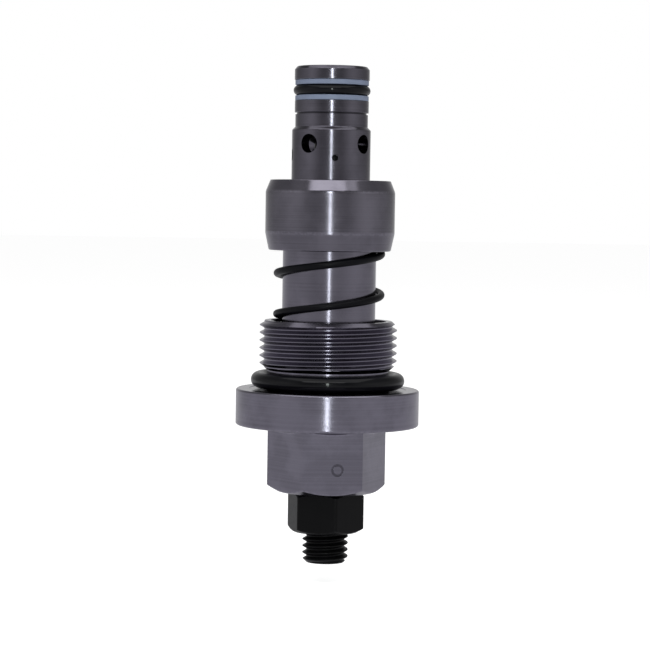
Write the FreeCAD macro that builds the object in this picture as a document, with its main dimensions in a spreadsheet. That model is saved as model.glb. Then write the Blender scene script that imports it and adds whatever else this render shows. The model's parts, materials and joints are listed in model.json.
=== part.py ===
# Screw-in cartridge valve, nose up, in millimetres.
# Origin: on the valve's axis, in the plane of the flange's upper seating face. +Z points to the nose.
import FreeCAD, Part
import math
import os
import Sketcher

V = FreeCAD.Vector
UP = V(0, 0, 1)
TURN = 360.0

# Driving dimensions. Radii end in _rad, heights above the seating face end in _z.
SIZES = {
    "axis_rad": 0.0, "seat_z": 0.0,
    # body: hexagon, flange, neck and M36 x 2 thread
    "hex_flats": 27.0, "hex_low_z": -26.8, "hex_angle": 6.8, "hex_face_rad": 13.0,
    "blend_top_rad": 16.4, "blend_low_rad": 13.5, "blend_low_z": -10.9,
    "flange_rad": 24.0, "flange_low_z": -9.5, "flange_break": 0.35, "land_rad": 20.6, "land_drop": 0.12,
    "neck_rad": 16.0, "neck_top_z": 4.9, "thread_rad": 18.0, "thread_low_z": 6.7, "thread_lead_z": 16.7,
    "thread_top_z": 17.9, "thread_lead_rad": 16.6, "thread_pitch": 2.0, "thread_start_z": 4.6,
    "thread_run": 16.0, "thread_over": 0.1,
    # bores of the body
    "screw_bore_rad": 6.1, "piston_low_z": -12.0, "piston_bore_rad": 9.0, "sleeve_low_z": 6.0,
    "bore_break": 0.5, "pocket_rad": 15.1, "pocket_low_z": 14.9,
    # guide sleeve
    "sleeve_rad": 12.2, "sleeve_top_z": 47.0, "sleeve_break": 0.6, "sleeve_ring_low_z": 8.4,
    "sleeve_ring_top_z": 10.5, "sleeve_ring_rad": 10.7, "sleeve_ring_wire": 1.4,
    # seat sleeve, which is the nose
    "shank_low_z": 35.0, "shank_rad": 9.0, "stem_rad": 9.5, "stem_top_z": 54.5, "barrel_rad": 10.25,
    "barrel_top_z": 67.5, "waist_rad": 9.46, "waist_low_z": 68.3, "waist_top_z": 71.55, "nick_rad": 9.1,
    "nick_top_z": 72.05, "land_two_rad": 9.64, "groove_low_z": 75.1, "groove_rad": 7.3,
    "groove_top_z": 80.5, "nose_rad": 9.76, "nose_edge_z": 83.2, "nose_edge_rad": 9.1, "nose_top_z": 84.0,
    "port_rad": 5.5, "port_break": 0.6, "seat_top_z": 71.0, "chamber_rad": 7.0, "stem_ring_low_z": 37.2,
    "stem_ring_top_z": 38.9, "stem_ring_rad": 8.0, "stem_ring_wire": 0.95,
    "cross_port_rad": 2.45, "cross_port_z": 63.85, "cross_port_angle": -35.0, "cross_port_count": 4,
    "vent_rad": 0.83, "vent_z": 60.2, "vent_angle": -84.3, "drain_rad": 1.5, "drain_z": 61.0,
    "drain_angle": -174.0, "drill_depth": 12.0,
    # seat insert
    "insert_low_z": 67.0, "insert_edge": 0.3, "insert_hole_rad": 5.2,
    # nose seals
    "nose_ring_rad": 8.70, "nose_ring_wire": 1.32, "nose_ring_z": 77.8, "backup_in_rad": 7.35,
    "backup_rad": 9.58, "backup_thick": 1.33, "backup_gap": 0.02,
    # make-up poppet, the sliding collar
    "collar_low_z": 36.2, "collar_foot_rad": 16.0, "collar_taper_z": 40.7, "collar_rad": 16.9,
    "collar_cone_z": 51.5, "collar_top_rad": 15.7, "collar_top_z": 54.5, "collar_lip_rad": 9.6,
    "collar_lip_z": 52.6, "collar_bore_rad": 12.3, "collar_seat_z": 43.0, "collar_cup_rad": 15.1,
    "collar_break": 0.25,
    # make-up spring
    "spring_rad": 13.6, "spring_wire": 1.9, "spring_pitch": 10.7, "spring_start": 0.195,
    # flange O-ring
    "flange_ring_rad": 18.08, "flange_ring_wire": 2.04, "flange_ring_z": 2.3,
    # relief poppet
    "cone_tip_rad": 4.0, "cone_tip_z": 68.2, "cone_foot_rad": 6.5, "cone_foot_z": 65.7, "cone_rim_z": 65.1,
    "poppet_neck_rad": 4.4, "neck_high_z": 64.0, "neck_low_z": 59.5, "poppet_rad": 6.9,
    "poppet_guide_z": 58.3, "poppet_low_z": 36.0, "poppet_break": 0.5, "nub_rad": 3.2, "nub_low_z": 33.0,
    "balance_depth": 0.35, "balance_width": 0.5, "balance_one_z": 54.0, "balance_step": 5.0,
    "balance_count": 3,
    # upper spring plate
    "plate_top_z": 34.4, "plate_low_z": 32.0, "plate_rad": 8.3, "plate_pocket_rad": 3.4,
    "spigot_rad": 5.3, "plate_spigot_z": 28.6, "spigot_break": 0.6,
    # main spring
    "main_rad": 7.1, "main_wire": 2.6, "main_turns": 6.4,
    # spring shim
    "shim_rad": 8.4, "shim_hole_rad": 5.5, "shim_thick": 1.0,
    # lower spring seat, the sealed piston
    "piston_rad": 8.9, "piston_top_z": 2.0, "piston_foot_z": -6.5, "piston_break": 0.4,
    "piston_groove_low_z": -4.6, "piston_groove_top_z": -1.2, "piston_groove_rad": 6.9,
    "piston_spigot_z": 7.0, "tip_pocket_rad": 4.7, "tip_z": -5.5, "piston_ring_wire": 1.0,
    "piston_backup_thick": 1.2,
    # adjusting screw M12 x 1.75
    "screw_rad": 6.0, "screw_tip_rad": 4.5, "screw_neck_z": -9.0, "screw_lead_z": -10.1,
    "screw_foot_z": -44.6, "screw_end_rad": 4.95, "screw_low_z": -45.6, "screw_pitch": 1.75,
    "screw_start_z": -46.6, "screw_run": 38.5, "screw_over": 0.05, "key_flats": 6.0, "key_depth": 6.5,
    # lock nut
    "nut_flats": 18.0, "nut_angle": 45.3, "nut_low_z": -37.5, "nut_face_rad": 8.45, "nut_sink": 0.9,
}

# Dimensions that follow from the ones above.
DERIVED = {
    "hex_rad": "hex_flats / 2 / cos(30)",
    "hex_tall": "flange_low_z - hex_low_z + 1",
    "hex_cut_rad": "hex_rad + 0.5",
    "hex_cut_z": "hex_low_z + (hex_cut_rad - hex_face_rad) * tan(30)",
    "hex_cut_low_z": "hex_low_z - 1",
    "flange_edge_rad": "flange_rad - flange_break",
    "flange_edge_low_z": "flange_low_z + flange_break",
    "flange_edge_top_z": "seat_z - flange_break",
    "land_z": "seat_z - land_drop",
    "bore_mouth_rad": "screw_bore_rad + bore_break",
    "bore_mouth_z": "hex_low_z + bore_break",
    "above_thread_z": "thread_top_z + 1",
    "below_hex_z": "hex_low_z - 1",
    "below_mouth_rad": "bore_mouth_rad + 1",
    "thread_minor_rad": "thread_rad - 0.6134 * thread_pitch",
    "thread_cut_rad": "thread_rad + thread_over",
    "thread_root_half": "thread_pitch / 12",
    "thread_cut_half": "7 / 16 * thread_pitch + thread_over * tan(30)",
    "thread_root_low_z": "thread_start_z - thread_root_half",
    "thread_root_top_z": "thread_start_z + thread_root_half",
    "thread_cut_low_z": "thread_start_z - thread_cut_half",
    "thread_cut_top_z": "thread_start_z + thread_cut_half",
    "screw_minor_rad": "screw_rad - 0.6134 * screw_pitch",
    "screw_cut_rad": "screw_rad + screw_over",
    "screw_root_half": "screw_pitch / 12",
    "screw_cut_half": "7 / 16 * screw_pitch + screw_over * tan(30)",
    "screw_root_low_z": "screw_start_z - screw_root_half",
    "screw_root_top_z": "screw_start_z + screw_root_half",
    "screw_cut_low_z": "screw_start_z - screw_cut_half",
    "screw_cut_top_z": "screw_start_z + screw_cut_half",
    "sleeve_edge_rad": "sleeve_rad - sleeve_break",
    "sleeve_edge_low_z": "sleeve_low_z + sleeve_break",
    "sleeve_edge_top_z": "sleeve_top_z - sleeve_break",
    "sleeve_ring_mid_z": "(sleeve_ring_low_z + sleeve_ring_top_z) / 2",
    "sleeve_ring_mid_rad": "sleeve_rad - sleeve_ring_wire / 2 - 0.03",
    "sleeve_ring_half": "sleeve_ring_wire / 2",
    "shank_edge_rad": "shank_rad - bore_break",
    "shank_edge_z": "shank_low_z + bore_break",
    "stem_ring_mid_z": "(stem_ring_low_z + stem_ring_top_z) / 2",
    "stem_ring_mid_rad": "shank_rad - stem_ring_wire / 2 - 0.02",
    "stem_ring_half": "stem_ring_wire / 2",
    "port_edge_rad": "port_rad + port_break",
    "port_edge_z": "nose_top_z - port_break",
    "insert_edge_rad": "chamber_rad - insert_edge",
    "insert_edge_z": "insert_low_z + insert_edge",
    "backup_upper_z": "groove_top_z - backup_gap - backup_thick",
    "backup_lower_z": "groove_low_z + backup_gap",
    "collar_foot_in_rad": "collar_cup_rad + collar_break",
    "collar_foot_in_z": "collar_low_z + collar_break",
    "collar_foot_out_rad": "collar_foot_rad - collar_break",
    "collar_foot_out_z": "collar_low_z + collar_break",
    "poppet_edge_rad": "poppet_rad - poppet_break",
    "poppet_edge_z": "poppet_low_z + poppet_break",
    "balance_rad": "poppet_rad - balance_depth",
    "balance_out_rad": "poppet_rad + 1",
    "plate_edge_rad": "plate_rad - bore_break",
    "plate_edge_z": "plate_top_z - bore_break",
    "spigot_edge_rad": "spigot_rad - spigot_break",
    "plate_spigot_edge_z": "plate_spigot_z + spigot_break",
    "shim_top_z": "piston_top_z + shim_thick",
    "piston_edge_rad": "piston_rad - piston_break",
    "piston_edge_low_z": "piston_foot_z + piston_break",
    "piston_edge_top_z": "piston_top_z - piston_break",
    "piston_spigot_edge_z": "piston_spigot_z - spigot_break",
    "piston_ring_mid_rad": "piston_bore_rad - piston_ring_wire - 0.03",
    "piston_ring_mid_z": "piston_groove_low_z + piston_ring_wire + 0.05",
    "piston_backup_low_z": "piston_groove_top_z - piston_backup_thick",
    "piston_backup_rad": "piston_bore_rad - 0.04",
    "piston_backup_in_rad": "piston_groove_rad + 0.05",
    "screw_tip_edge_rad": "screw_tip_rad - 0.6",
    "screw_tip_edge_z": "tip_z - 0.6",
    "key_rad": "key_flats / 2 / cos(30)",
    "nut_rad": "nut_flats / 2 / cos(30)",
    "nut_tall": "hex_low_z - nut_low_z",
    "nut_cut_rad": "nut_rad + 0.5",
    "nut_cut_low_z": "nut_low_z + (nut_cut_rad - nut_face_rad) * tan(30)",
    "nut_cut_top_z": "hex_low_z - (nut_cut_rad - nut_face_rad) * tan(30)",
    "nut_below_z": "nut_low_z - 1",
    "nut_above_z": "hex_low_z + 1",
    "nut_sink_rad": "screw_bore_rad + nut_sink",
    "nut_sink_low_z": "nut_low_z + nut_sink",
    "nut_sink_top_z": "hex_low_z - nut_sink",
}

doc = FreeCAD.newDocument("CartridgeValve")
sheet = doc.addObject("Spreadsheet::Sheet", "Sizes")


def fill_sheet():
    """Write the driving sizes and the formulas, each with its alias."""
    row = 0
    for name, value in list(SIZES.items()) + list(DERIVED.items()):
        row += 1
        sheet.set(f"A{row}", name)
        sheet.set(f"B{row}", f"={value}" if name in DERIVED else str(value))
        sheet.setAlias(f"B{row}", name)
    doc.recompute()


def size(name):
    """A size from the sheet."""
    return float(sheet.get(name))


def origin_part(body, role):
    """One of a body's own origin planes or axes."""
    return next(item for item in body.Origin.OriginFeatures if item.Role == role)


def new_body(label):
    """An empty sub-part."""
    body = doc.addObject("PartDesign::Body", label)
    body.Label = label
    return body


def outline(body, name, corners):
    """A closed sketch in the XZ plane; each corner is (radius alias, height alias)."""
    sketch = body.newObject("Sketcher::SketchObject", name)
    sketch.AttachmentSupport = [(origin_part(body, "XZ_Plane"), "")]
    sketch.MapMode = "FlatFace"
    points = [V(size(radius), size(height), 0) for radius, height in corners]
    for index, point in enumerate(points):
        sketch.addGeometry(Part.LineSegment(point, points[(index + 1) % len(points)]), False)
    for index in range(len(points)):
        follower = (index + 1) % len(points)
        sketch.addConstraint(Sketcher.Constraint("Coincident", index, 2, follower, 1))
    for index, (radius, height) in enumerate(corners):
        across = sketch.addConstraint(Sketcher.Constraint("DistanceX", -1, 1, index, 1, size(radius)))
        sketch.setExpression(f"Constraints[{across}]", f"Sizes.{radius}")
        upward = sketch.addConstraint(Sketcher.Constraint("DistanceY", -1, 1, index, 1, size(height)))
        sketch.setExpression(f"Constraints[{upward}]", f"Sizes.{height}")
    return sketch


def turn(body, name, corners, kind="PartDesign::Revolution"):
    """Revolve an outline about the valve's axis."""
    sketch = outline(body, name + "Outline", corners)
    feature = body.newObject(kind, name)
    feature.Profile = sketch
    feature.ReferenceAxis = (origin_part(body, "Z_Axis"), [""])
    feature.Angle = TURN
    body.Tip = feature
    return feature


def bore(body, name, corners):
    """Cut a revolved outline out of a body."""
    return turn(body, name, corners, "PartDesign::Groove")


def prism(body, name, radius, tall, low, angle, kind="PartDesign::AdditivePrism"):
    """A hexagonal prism standing on the height alias low, turned by the angle alias."""
    feature = body.newObject(kind, name)
    feature.AttachmentSupport = [(origin_part(body, "XY_Plane"), "")]
    feature.MapMode = "FlatFace"
    feature.Polygon = 6
    feature.AttachmentOffset = FreeCAD.Placement(V(0, 0, size(low)), FreeCAD.Rotation(UP, size(angle)))
    feature.setExpression("AttachmentOffset.Base.z", f"Sizes.{low}")
    feature.setExpression("Circumradius", f"Sizes.{radius}")
    feature.setExpression("Height", f"Sizes.{tall}")
    body.Tip = feature
    return feature


def helix_cut(body, name, corners, pitch, run):
    """Cut a right-hand thread with the outline as its groove section."""
    sketch = outline(body, name + "Section", corners)
    feature = body.newObject("PartDesign::SubtractiveHelix", name)
    feature.Profile = sketch
    feature.ReferenceAxis = (origin_part(body, "Z_Axis"), [""])
    feature.Mode = 0
    feature.LeftHanded = False
    feature.setExpression("Pitch", f"Sizes.{pitch}")
    feature.setExpression("Height", f"Sizes.{run}")
    body.Tip = feature
    return feature


def cross_hole(body, name, radius, height, angle):
    """Drill a hole from the axis outward, in the direction given in degrees from +X."""
    feature = body.newObject("PartDesign::SubtractiveCylinder", name)
    feature.AttachmentSupport = [(origin_part(body, "XY_Plane"), "")]
    feature.MapMode = "FlatFace"
    outward = FreeCAD.Rotation(UP, angle) * FreeCAD.Rotation(V(0, 1, 0), 90)
    feature.AttachmentOffset = FreeCAD.Placement(V(0, 0, size(height)), outward)
    feature.setExpression("AttachmentOffset.Base.z", f"Sizes.{height}")
    feature.setExpression("Radius", f"Sizes.{radius}")
    feature.setExpression("Height", "Sizes.drill_depth")
    body.Tip = feature
    return feature


def valve_body():
    body = new_body("valve_body")
    turn(body, "FlangeAndNeck", [
        ("axis_rad", "flange_low_z"), ("flange_edge_rad", "flange_low_z"),
        ("flange_rad", "flange_edge_low_z"), ("flange_rad", "flange_edge_top_z"),
        ("flange_edge_rad", "seat_z"), ("land_rad", "seat_z"), ("land_rad", "land_z"),
        ("neck_rad", "land_z"), ("neck_rad", "neck_top_z"), ("thread_rad", "thread_low_z"),
        ("thread_rad", "thread_lead_z"), ("thread_lead_rad", "thread_top_z"),
        ("axis_rad", "thread_top_z")])
    prism(body, "Hexagon", "hex_rad", "hex_tall", "hex_low_z", "hex_angle")
    turn(body, "FlangeBlend", [
        ("axis_rad", "blend_low_z"), ("blend_low_rad", "blend_low_z"), ("blend_top_rad", "flange_low_z"),
        ("axis_rad", "flange_low_z")])
    bore(body, "HexagonChamfer", [
        ("hex_face_rad", "hex_low_z"), ("hex_cut_rad", "hex_cut_z"), ("hex_cut_rad", "hex_cut_low_z"),
        ("hex_face_rad", "hex_cut_low_z")])
    helix_cut(body, "MountingThread", [
        ("thread_minor_rad", "thread_root_low_z"), ("thread_cut_rad", "thread_cut_low_z"),
        ("thread_cut_rad", "thread_cut_top_z"), ("thread_minor_rad", "thread_root_top_z")],
        "thread_pitch", "thread_run")
    bore(body, "Bores", [
        ("axis_rad", "below_hex_z"), ("below_mouth_rad", "below_hex_z"), ("bore_mouth_rad", "hex_low_z"),
        ("screw_bore_rad", "bore_mouth_z"), ("screw_bore_rad", "piston_low_z"),
        ("piston_bore_rad", "piston_low_z"), ("piston_bore_rad", "sleeve_low_z"),
        ("sleeve_rad", "sleeve_low_z"), ("sleeve_rad", "pocket_low_z"),
        ("pocket_rad", "pocket_low_z"), ("pocket_rad", "above_thread_z"),
        ("axis_rad", "above_thread_z")])


def guide_sleeve():
    body = new_body("guide_sleeve")
    turn(body, "Tube", [
        ("piston_bore_rad", "sleeve_low_z"), ("sleeve_edge_rad", "sleeve_low_z"),
        ("sleeve_rad", "sleeve_edge_low_z"), ("sleeve_rad", "sleeve_ring_low_z"),
        ("sleeve_ring_rad", "sleeve_ring_low_z"), ("sleeve_ring_rad", "sleeve_ring_top_z"),
        ("sleeve_rad", "sleeve_ring_top_z"), ("sleeve_rad", "sleeve_edge_top_z"),
        ("sleeve_edge_rad", "sleeve_top_z"), ("piston_bore_rad", "sleeve_top_z")])


def seat_sleeve():
    body = new_body("seat_sleeve")
    turn(body, "Nose", [
        ("chamber_rad", "shank_low_z"), ("shank_edge_rad", "shank_low_z"), ("shank_rad", "shank_edge_z"),
        ("shank_rad", "stem_ring_low_z"), ("stem_ring_rad", "stem_ring_low_z"),
        ("stem_ring_rad", "stem_ring_top_z"), ("shank_rad", "stem_ring_top_z"),
        ("shank_rad", "sleeve_top_z"), ("stem_rad", "sleeve_top_z"), ("stem_rad", "stem_top_z"),
        ("barrel_rad", "stem_top_z"), ("barrel_rad", "barrel_top_z"), ("waist_rad", "waist_low_z"),
        ("waist_rad", "waist_top_z"), ("nick_rad", "waist_top_z"), ("nick_rad", "nick_top_z"),
        ("land_two_rad", "nick_top_z"), ("land_two_rad", "groove_low_z"),
        ("groove_rad", "groove_low_z"), ("groove_rad", "groove_top_z"), ("nose_rad", "groove_top_z"),
        ("nose_rad", "nose_edge_z"), ("nose_edge_rad", "nose_top_z"), ("port_edge_rad", "nose_top_z"),
        ("port_rad", "port_edge_z"), ("port_rad", "seat_top_z"), ("chamber_rad", "seat_top_z")])
    count = int(size("cross_port_count"))
    for index in range(count):
        angle = size("cross_port_angle") + index * TURN / count
        cross_hole(body, f"CrossPort{index + 1}", "cross_port_rad", "cross_port_z", angle)
    cross_hole(body, "VentHole", "vent_rad", "vent_z", size("vent_angle"))
    cross_hole(body, "DrainHole", "drain_rad", "drain_z", size("drain_angle"))


def seat_insert():
    body = new_body("seat_insert")
    turn(body, "SeatRing", [
        ("insert_hole_rad", "insert_low_z"), ("insert_edge_rad", "insert_low_z"),
        ("chamber_rad", "insert_edge_z"), ("chamber_rad", "seat_top_z"),
        ("insert_hole_rad", "seat_top_z")])


def plain_ring(label, inner, outer, low, thick):
    """A flat ring with a square section."""
    tube = doc.addObject("Part::Cylinder", label + "_outer")
    hole = doc.addObject("Part::Cylinder", label + "_inner")
    ring = doc.addObject("Part::Cut", label)
    for piece, radius in ((tube, outer), (hole, inner)):
        piece.setExpression("Radius", f"Sizes.{radius}")
        piece.setExpression("Height", f"Sizes.{thick}")
    ring.Base = tube
    ring.Tool = hole
    ring.Label = label
    ring.setExpression("Placement.Base.z", f"Sizes.{low}")


def o_ring(label, middle, section, height):
    """An O-ring: a torus about the valve's axis."""
    ring = doc.addObject("Part::Torus", label)
    ring.Label = label
    ring.setExpression("Radius1", f"Sizes.{middle}")
    ring.setExpression("Radius2", f"Sizes.{section}")
    ring.setExpression("Placement.Base.z", f"Sizes.{height}")


def makeup_poppet():
    body = new_body("makeup_poppet")
    turn(body, "Collar", [
        ("collar_foot_in_rad", "collar_low_z"), ("collar_foot_out_rad", "collar_low_z"),
        ("collar_foot_rad", "collar_foot_out_z"), ("collar_rad", "collar_taper_z"),
        ("collar_rad", "collar_cone_z"), ("collar_top_rad", "collar_top_z"),
        ("collar_lip_rad", "collar_top_z"), ("collar_lip_rad", "collar_lip_z"),
        ("collar_bore_rad", "collar_lip_z"), ("collar_bore_rad", "collar_seat_z"),
        ("collar_cup_rad", "collar_seat_z"), ("collar_cup_rad", "collar_foot_in_z")])


def relief_poppet():
    body = new_body("relief_poppet")
    turn(body, "Cone", [
        ("axis_rad", "cone_tip_z"), ("cone_tip_rad", "cone_tip_z"), ("cone_foot_rad", "cone_foot_z"),
        ("cone_foot_rad", "cone_rim_z"), ("poppet_neck_rad", "neck_high_z"),
        ("poppet_neck_rad", "neck_low_z"), ("poppet_rad", "poppet_guide_z"),
        ("poppet_rad", "poppet_edge_z"), ("poppet_edge_rad", "poppet_low_z"),
        ("nub_rad", "poppet_low_z"), ("nub_rad", "nub_low_z"), ("axis_rad", "nub_low_z")])
    for index in range(int(size("balance_count"))):
        low = size("balance_one_z") - index * size("balance_step")
        groove = body.newObject("PartDesign::Groove", f"BalanceGroove{index + 1}")
        groove.Profile = balance_section(body, f"BalanceSection{index + 1}", low)
        groove.ReferenceAxis = (origin_part(body, "Z_Axis"), [""])
        groove.Angle = TURN
        body.Tip = groove


def balance_section(body, name, low):
    """A small square in the XZ plane that cuts one pressure balance groove."""
    sketch = body.newObject("Sketcher::SketchObject", name)
    sketch.AttachmentSupport = [(origin_part(body, "XZ_Plane"), "")]
    sketch.MapMode = "FlatFace"
    inner = size("balance_rad")
    outer = size("balance_out_rad")
    high = low + size("balance_width")
    corners = [V(inner, low, 0), V(outer, low, 0), V(outer, high, 0), V(inner, high, 0)]
    for index, corner in enumerate(corners):
        sketch.addGeometry(Part.LineSegment(corner, corners[(index + 1) % 4]), False)
    return sketch


def upper_spring_plate():
    body = new_body("upper_spring_plate")
    turn(body, "Plate", [
        ("axis_rad", "plate_spigot_z"), ("spigot_edge_rad", "plate_spigot_z"),
        ("spigot_rad", "plate_spigot_edge_z"), ("spigot_rad", "plate_low_z"),
        ("plate_rad", "plate_low_z"), ("plate_rad", "plate_edge_z"), ("plate_edge_rad", "plate_top_z"),
        ("plate_pocket_rad", "plate_top_z"), ("plate_pocket_rad", "nub_low_z"),
        ("axis_rad", "nub_low_z")])


def lower_spring_seat():
    body = new_body("lower_spring_seat")
    turn(body, "Piston", [
        ("axis_rad", "tip_z"), ("tip_pocket_rad", "tip_z"), ("tip_pocket_rad", "piston_foot_z"),
        ("piston_edge_rad", "piston_foot_z"), ("piston_rad", "piston_edge_low_z"),
        ("piston_rad", "piston_groove_low_z"), ("piston_groove_rad", "piston_groove_low_z"),
        ("piston_groove_rad", "piston_groove_top_z"), ("piston_rad", "piston_groove_top_z"),
        ("piston_rad", "piston_edge_top_z"), ("piston_edge_rad", "piston_top_z"),
        ("spigot_rad", "piston_top_z"), ("spigot_rad", "piston_spigot_edge_z"),
        ("spigot_edge_rad", "piston_spigot_z"), ("axis_rad", "piston_spigot_z")])


def adjusting_screw():
    body = new_body("adjusting_screw")
    turn(body, "Shank", [
        ("axis_rad", "screw_low_z"), ("screw_end_rad", "screw_low_z"), ("screw_rad", "screw_foot_z"),
        ("screw_rad", "screw_lead_z"), ("screw_tip_rad", "screw_neck_z"),
        ("screw_tip_rad", "screw_tip_edge_z"), ("screw_tip_edge_rad", "tip_z"), ("axis_rad", "tip_z")])
    helix_cut(body, "ScrewThread", [
        ("screw_minor_rad", "screw_root_low_z"), ("screw_cut_rad", "screw_cut_low_z"),
        ("screw_cut_rad", "screw_cut_top_z"), ("screw_minor_rad", "screw_root_top_z")],
        "screw_pitch", "screw_run")
    prism(body, "KeySocket", "key_rad", "key_depth", "screw_low_z", "nut_angle",
          "PartDesign::SubtractivePrism")


def lock_nut():
    body = new_body("lock_nut")
    prism(body, "NutHexagon", "nut_rad", "nut_tall", "nut_low_z", "nut_angle")
    bore(body, "LowerChamfer", [
        ("nut_face_rad", "nut_low_z"), ("nut_cut_rad", "nut_cut_low_z"), ("nut_cut_rad", "nut_below_z"),
        ("nut_face_rad", "nut_below_z")])
    bore(body, "UpperChamfer", [
        ("nut_face_rad", "hex_low_z"), ("nut_cut_rad", "nut_cut_top_z"), ("nut_cut_rad", "nut_above_z"),
        ("nut_face_rad", "nut_above_z")])
    bore(body, "NutBore", [
        ("axis_rad", "nut_below_z"), ("nut_sink_rad", "nut_below_z"), ("nut_sink_rad", "nut_low_z"),
        ("screw_bore_rad", "nut_sink_low_z"), ("screw_bore_rad", "nut_sink_top_z"),
        ("nut_sink_rad", "hex_low_z"), ("nut_sink_rad", "nut_above_z"), ("axis_rad", "nut_above_z")])


def height_at(turns, stations):
    """Height of the wire's centre, read between (turns, height) stations."""
    for (turns_low, low), (turns_high, high) in zip(stations, stations[1:]):
        if turns <= turns_high + 1e-9:
            return low + (high - low) * (turns - turns_low) / (turns_high - turns_low)
    return stations[-1][1]


def ground_spring(label, middle, wire, stations, low, high):
    """A right-hand coil spring along the stations, ground flat at the heights low and high."""
    steps = 16
    first = stations[0][0]
    count = int(round((stations[-1][0] - first) * steps))
    path = []
    for index in range(count + 1):
        turns = first + index / steps
        angle = math.radians(TURN * turns)
        path.append(V(middle * math.cos(angle), middle * math.sin(angle), height_at(turns, stations)))
    curve = Part.BSplineCurve()
    curve.interpolate(path)
    heading = curve.tangent(curve.FirstParameter)[0]
    section = Part.Wire([Part.Circle(path[0], heading, wire / 2).toShape()])
    coil = Part.Wire([curve.toShape()]).makePipeShell([section], True, True)
    reach = middle + wire
    below = Part.makeCylinder(reach, wire * 2, V(0, 0, low - wire * 2))
    above = Part.makeCylinder(reach, wire * 2, V(0, 0, high))
    spring = doc.addObject("Part::Feature", label)
    spring.Label = label
    spring.Shape = coil.cut(below).cut(above).Solids[0]


def makeup_spring():
    wire = size("spring_wire")
    pitch = size("spring_pitch")
    low = size("pocket_low_z")
    high = size("collar_seat_z")
    first = low + 0.68 * wire
    last = high - 0.68 * wire
    active = (last - first) / pitch
    start = size("spring_start")
    stations = [
        (start - 0.75, low + 0.22 * wire), (start - 0.25, low + 0.45 * wire), (start, first),
        (start + active, last), (start + active + 0.25, high - 0.45 * wire),
        (start + active + 0.75, high - 0.22 * wire)]
    ground_spring("makeup_spring", size("spring_rad"), wire, stations, low, high)


def relief_spring():
    wire = size("main_wire")
    low = size("shim_top_z")
    high = size("plate_low_z")
    first = low + 0.68 * wire
    last = high - 0.68 * wire
    active = size("main_turns")
    stations = [
        (-0.75, low + 0.22 * wire), (-0.25, low + 0.45 * wire), (0, first), (active, last),
        (active + 0.25, high - 0.45 * wire), (active + 0.75, high - 0.22 * wire)]
    ground_spring("relief_spring", size("main_rad"), wire, stations, low, high)


def seals_and_rings():
    o_ring("flange_o_ring", "flange_ring_rad", "flange_ring_wire", "flange_ring_z")
    o_ring("nose_o_ring", "nose_ring_rad", "nose_ring_wire", "nose_ring_z")
    o_ring("sleeve_o_ring", "sleeve_ring_mid_rad", "sleeve_ring_half", "sleeve_ring_mid_z")
    o_ring("stem_o_ring", "stem_ring_mid_rad", "stem_ring_half", "stem_ring_mid_z")
    o_ring("piston_o_ring", "piston_ring_mid_rad", "piston_ring_wire", "piston_ring_mid_z")
    plain_ring("nose_backup_ring_upper", "backup_in_rad", "backup_rad", "backup_upper_z", "backup_thick")
    plain_ring("nose_backup_ring_lower", "backup_in_rad", "backup_rad", "backup_lower_z", "backup_thick")
    plain_ring("piston_backup_ring", "piston_backup_in_rad", "piston_backup_rad",
               "piston_backup_low_z", "piston_backup_thick")
    plain_ring("spring_shim", "shim_hole_rad", "shim_rad", "piston_top_z", "shim_thick")


NODES = [
    "valve_body", "guide_sleeve", "seat_sleeve", "seat_insert", "makeup_poppet", "makeup_spring",
    "relief_poppet", "upper_spring_plate", "relief_spring", "spring_shim", "lower_spring_seat",
    "piston_o_ring", "piston_backup_ring", "adjusting_screw", "lock_nut", "flange_o_ring",
    "nose_o_ring", "nose_backup_ring_upper", "nose_backup_ring_lower", "sleeve_o_ring", "stem_o_ring",
]


def check_and_export():
    """Refuse failed features and bad shapes, then write one STEP file per sub-part."""
    for item in doc.Objects:
        if {"Invalid", "Error"} & set(item.State):
            raise RuntimeError(f"{item.Label} failed: {item.State}")
    shapes = {}
    for node in NODES:
        shape = doc.getObjectsByLabel(node)[0].Shape
        if shape.isNull() or not shape.isValid() or len(shape.Solids) != 1:
            raise RuntimeError(f"{node} is not one valid solid")
        shapes[node] = shape
    os.makedirs("parts", exist_ok=True)
    for node, shape in shapes.items():
        shape.exportStep(f"parts/{node}.step")
        print(f"{node}: {shape.Volume:.1f} mm3")


fill_sheet()
valve_body()
guide_sleeve()
seat_sleeve()
seat_insert()
makeup_poppet()
makeup_spring()
relief_poppet()
upper_spring_plate()
relief_spring()
lower_spring_seat()
adjusting_screw()
lock_nut()
seals_and_rings()
doc.recompute()
check_and_export()
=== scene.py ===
"""Screw-in cartridge valve: visible pieces, finishes, studio and camera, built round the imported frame.

Lengths are in millimetres and angles in degrees where a value is named; meshes and studio are in metres."""
import json
import math

import bmesh
import bpy
from mathutils import Matrix, Vector
from mathutils.bvhtree import BVHTree


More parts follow.
